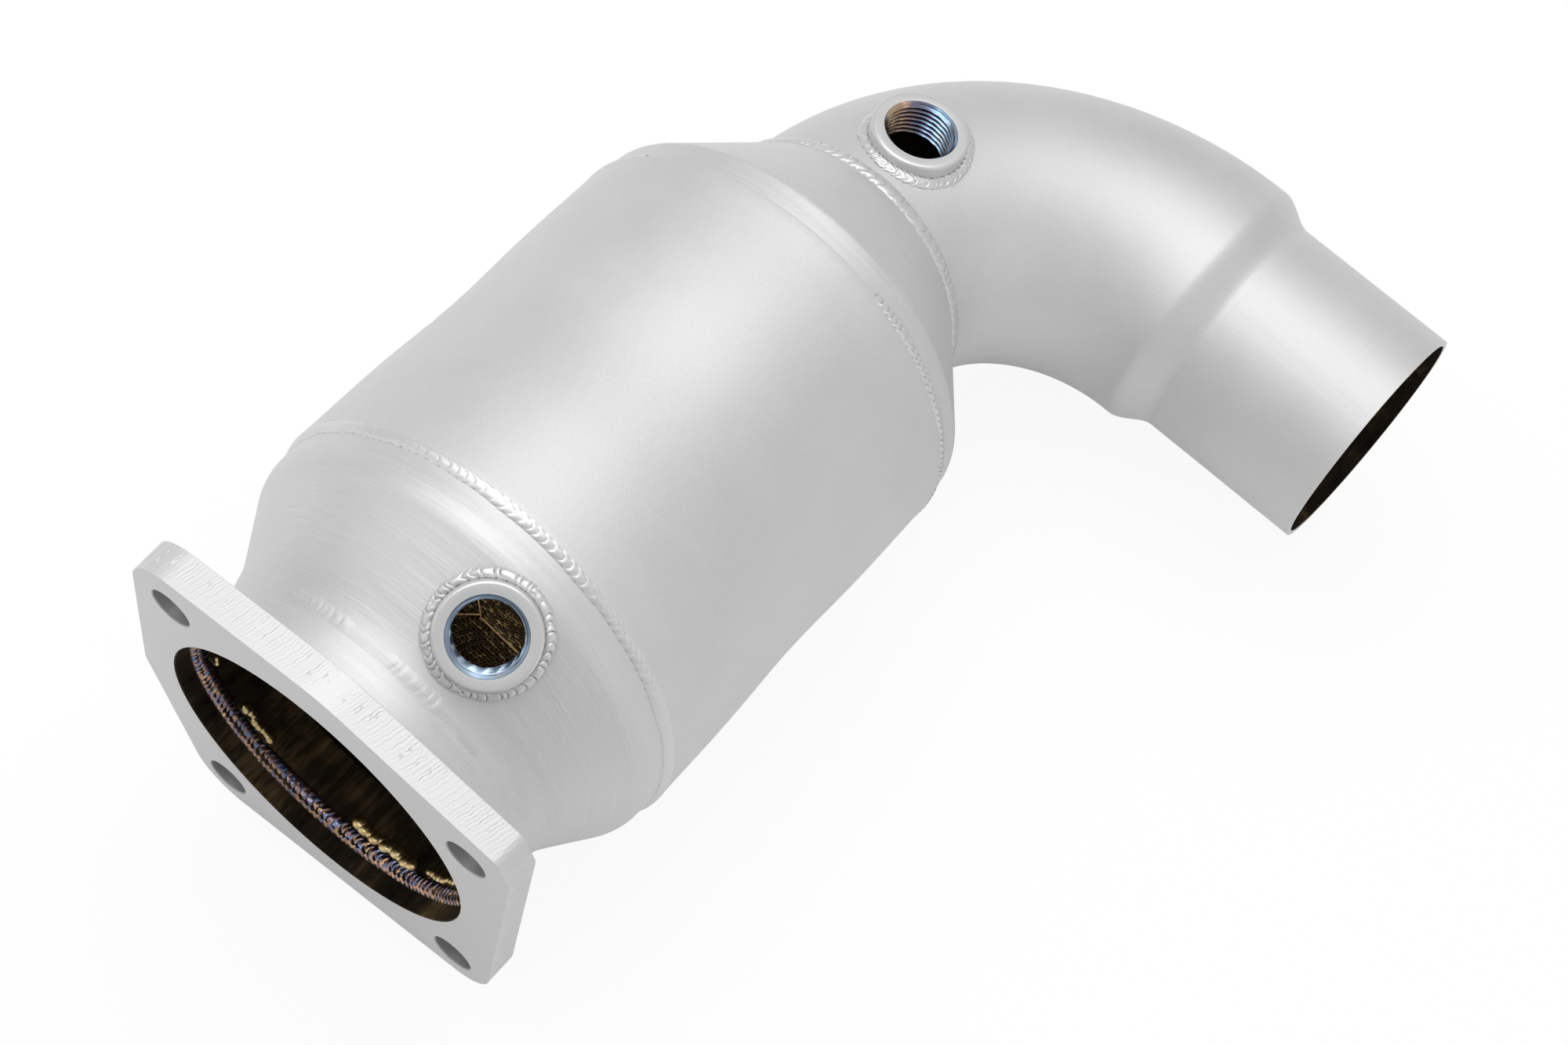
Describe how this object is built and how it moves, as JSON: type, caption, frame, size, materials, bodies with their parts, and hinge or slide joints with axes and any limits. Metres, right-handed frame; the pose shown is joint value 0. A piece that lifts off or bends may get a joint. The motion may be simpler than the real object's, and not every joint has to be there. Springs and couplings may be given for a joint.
{
  "type": "catalytic converter",
  "caption": "Welded steel catalytic converter: cut inlet flange, neck and cone, round canister with a metal foil core, outlet cone, bent outlet pipe and two sensor bungs.",
  "frame": {"origin": "centre of the gas port on the inlet flange's mating face", "axes": "+X along the port's axis into the part, square to the mating face; +Z towards the side with both sensor bungs"},
  "size_m": [0.2915, 0.192, 0.1327],
  "materials": {
    "blasted_steel": "matte",
    "flange_steel": "satin",
    "bung_steel": "satin",
    "weld_metal": "satin",
    "core_foil": "satin"
  },
  "bodies": {
    "root": {"inlet_flange": "flange_steel", "flange_inner_weld": "weld_metal", "flange_rear_weld": "weld_metal", "weld_drips": "weld_metal", "inlet_neck": "blasted_steel", "neck_weld": "weld_metal", "inlet_cone": "blasted_steel", "inlet_sensor_bung": "bung_steel", "inlet_bung_weld": "weld_metal", "inlet_cone_weld": "weld_metal", "canister_shell": "blasted_steel", "substrate_mantle": "core_foil", "foil_core": "core_foil", "outlet_cone": "blasted_steel", "outlet_cone_weld": "weld_metal", "outlet_elbow": "blasted_steel", "elbow_weld": "weld_metal", "outlet_sensor_bung": "bung_steel", "outlet_bung_weld": "weld_metal", "outlet_pipe": "blasted_steel", "outlet_pipe_weld": "weld_metal"}
  },
  "joints": []
}
